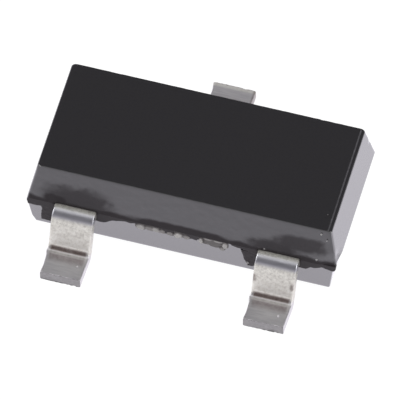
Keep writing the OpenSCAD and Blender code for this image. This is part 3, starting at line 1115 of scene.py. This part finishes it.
def plain_inner_material(name, dark, light, metallic, roughness, scale):
    """Finish of a piece that is sealed in the body."""
    material, nodes, links, shader = new_material(name)
    grain = add_noise(nodes, links, scale)
    links.new(add_ramp(nodes, links, grain, two_tone(dark, light)), shader.inputs["Base Color"])
    shader.inputs["Metallic"].default_value = metallic
    shader.inputs["Roughness"].default_value = roughness
    return material


def dress_inner_nodes():
    silicon = plain_inner_material("silicon", (0.20, 0.21, 0.24), (0.30, 0.31, 0.34), 0.6, 0.15, 12)
    bond = plain_inner_material("silver_epoxy", (0.45, 0.45, 0.43), (0.62, 0.62, 0.60), 0.7, 0.5, 40)
    gold = plain_inner_material("gold_wire", (0.78, 0.52, 0.16), (0.90, 0.66, 0.26), 1.0, 0.25, 30)
    finishes = {"die": silicon, "die_attach": bond, "base_bond_wire": gold, "emitter_bond_wire": gold}
    for node, finish in finishes.items():
        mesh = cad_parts[node].data
        mesh.materials.clear()
        mesh.materials.append(finish)


# Floor, light and camera

WHITE = (1, 1, 1)
FLOOR_HALF = 300.0
FLOOR_GLOW = 0.96
FLOOR_SHADE = 0.17
FLOOR_LIT = 0.85

# Room: brightness above, near the horizon and low in front, and where the last two fade
SKY = 0.19
HORIZON = 0.90
HORIZON_FALL = (0.15, 0.36)
FRONT_GLOW = 0.55
FRONT_FALL = (-0.85, -0.55)
ROOM_TINT = (0.99, 0.96, 1.045)

# Lamps: name, place and sizes in metres, and power in watts
LAMPS = (
    ("overhead_softbox", (0.0, 0.18, 1.5), (2.4, 0.9), 5.2),
    ("left_softbox", (-1.8, -0.1, 1.1), (0.9, 0.9), 12.0),
    ("right_softbox", (1.8, -0.1, 1.1), (0.9, 0.9), 12.0),
)


def floor_material():
    """White to the camera and in reflections, with a share of plain diffuse that keeps the shadow."""
    material, nodes, links, shader = new_material("pale_floor")
    nodes.remove(shader)
    paths = nodes.new("ShaderNodeLightPath")
    seen = add_maximum(nodes, links, paths.outputs["Is Camera Ray"], paths.outputs["Is Glossy Ray"])
    seen = add_maximum(nodes, links, seen, paths.outputs["Is Transmission Ray"])
    glow = nodes.new("ShaderNodeEmission")
    tint = add_ramp(nodes, links, paths.outputs["Is Glossy Ray"], ((0.0, WHITE), (1.0, ROOM_TINT)))
    links.new(tint, glow.inputs["Color"])
    glow.inputs["Strength"].default_value = FLOOR_GLOW
    soft = nodes.new("ShaderNodeBsdfDiffuse")
    soft.inputs["Color"].default_value = (FLOOR_SHADE, FLOOR_SHADE, FLOOR_SHADE, 1)
    seen_floor = nodes.new("ShaderNodeAddShader")
    links.new(glow.outputs[0], seen_floor.inputs[0])
    links.new(soft.outputs[0], seen_floor.inputs[1])
    lit_floor = nodes.new("ShaderNodeBsdfDiffuse")
    lit_floor.inputs["Color"].default_value = (FLOOR_LIT, FLOOR_LIT, FLOOR_LIT, 1)
    choose = nodes.new("ShaderNodeMixShader")
    links.new(seen, choose.inputs["Fac"])
    links.new(lit_floor.outputs[0], choose.inputs[1])
    links.new(seen_floor.outputs[0], choose.inputs[2])
    links.new(choose.outputs[0], nodes["Material Output"].inputs["Surface"])
    return material


def make_floor():
    mesh = bpy.data.meshes.new("floor")
    corners = [(-1, -1, 0), (1, -1, 0), (1, 1, 0), (-1, 1, 0)]
    mesh.from_pydata([tuple(c * FLOOR_HALF * MM for c in p) for p in corners], [], [(0, 1, 2, 3)])
    mesh.materials.append(floor_material())
    floor = bpy.data.objects.new("floor", mesh)
    bpy.context.scene.collection.objects.link(floor)


def make_lamp(name, place, sizes, power):
    """Rectangular lamp that faces the part."""
    data = bpy.data.lights.new(name, "AREA")
    data.shape = "RECTANGLE"
    data.size, data.size_y = sizes
    data.energy = power
    lamp = bpy.data.objects.new(name, data)
    lamp.location = place
    lamp.rotation_euler = (-Vector(place)).to_track_quat("-Z", "Y").to_euler()
    bpy.context.scene.collection.objects.link(lamp)


def make_world():
    """Room that is bright low down, dim behind and above, and white to the camera."""
    world = bpy.data.worlds.new("soft_room")
    bpy.context.scene.world = world
    world.use_nodes = True
    nodes, links = world.node_tree.nodes, world.node_tree.links
    background = nodes["Background"]
    place = nodes.new("ShaderNodeTexCoord")
    split = nodes.new("ShaderNodeSeparateXYZ")
    links.new(place.outputs["Generated"], split.inputs[0])
    low_sky = add_range(nodes, links, split.outputs["Z"], HORIZON, 0.0, *HORIZON_FALL, smooth=True)
    front_glow = add_range(nodes, links, split.outputs["Y"], FRONT_GLOW, 0.0, *FRONT_FALL, smooth=True)
    sky = add_maximum(nodes, links, add_maximum(nodes, links, low_sky, SKY), front_glow)
    seen = nodes.new("ShaderNodeLightPath").outputs["Is Camera Ray"]
    links.new(add_maximum(nodes, links, sky, seen), background.inputs["Strength"])
    tint = add_ramp(nodes, links, seen, ((0.0, ROOM_TINT), (1.0, WHITE)))
    links.new(tint, background.inputs["Color"])


def make_camera():
    azimuth, elevation = math.radians(VIEW_AZIMUTH), math.radians(VIEW_ELEVATION)
    towards = Vector((math.sin(azimuth) * math.cos(elevation), -math.cos(azimuth) * math.cos(elevation),
                      math.sin(elevation)))
    right = Vector((math.cos(azimuth), math.sin(azimuth), 0))
    up = towards.cross(right)
    aim = Vector((0, 0, ANCHOR_HEIGHT)) - right * ((ANCHOR_PIXEL[0] - IMAGE_SIZE / 2) / PIXELS_PER_MM)
    aim += up * ((ANCHOR_PIXEL[1] - IMAGE_SIZE / 2) / PIXELS_PER_MM)
    data = bpy.data.cameras.new("camera")
    data.sensor_width = SENSOR_WIDTH
    data.lens = SENSOR_WIDTH * CAMERA_DISTANCE / (IMAGE_SIZE / PIXELS_PER_MM)
    data.clip_start, data.clip_end = CLIP
    camera = bpy.data.objects.new("camera", data)
    camera.location = (aim + towards * CAMERA_DISTANCE) * MM
    camera.rotation_mode = "QUATERNION"
    camera.rotation_quaternion = (-towards).to_track_quat("-Z", "Y")
    bpy.context.scene.collection.objects.link(camera)
    bpy.context.scene.camera = camera


bpy.context.scene.view_settings.view_transform = "Standard"
make_camera()
make_floor()
make_world()
for lamp in LAMPS:
    make_lamp(*lamp)

metals = [tin_material(), cut_end_material()]
dull_resin = dull_resin_material()
make_body(epoxy_material(), polished_material(), highlight_edge_material())
make_gate(broken_resin_material())
for number, web in enumerate(WEBS_AND_SHADE, 1):
    make_web_and_shade(number, *web, dull_resin)

post_end = -FRONT_EDGE - POST_COVER
flag_end = BACK_EDGE - FLAG_COVER
front_post = [(POST_START, post_end, POST_HALF_WIDTH)]
back_flag = [(FLAG_START, flag_end, FLAG_HALF_LENGTH)]
make_lead("base_lead_formed", "base_lead", BASE_X, -1, front_post, post_end, FRONT_TIP, metals)
make_lead("emitter_lead_formed", "emitter_lead", EMITTER_X, -1, front_post, post_end, FRONT_TIP, metals)
make_lead("collector_lead_formed", "collector_lead", COLLECTOR_X, 1, back_flag, flag_end, BACK_TIP, metals)
make_dust(dust_material())
dress_inner_nodes()
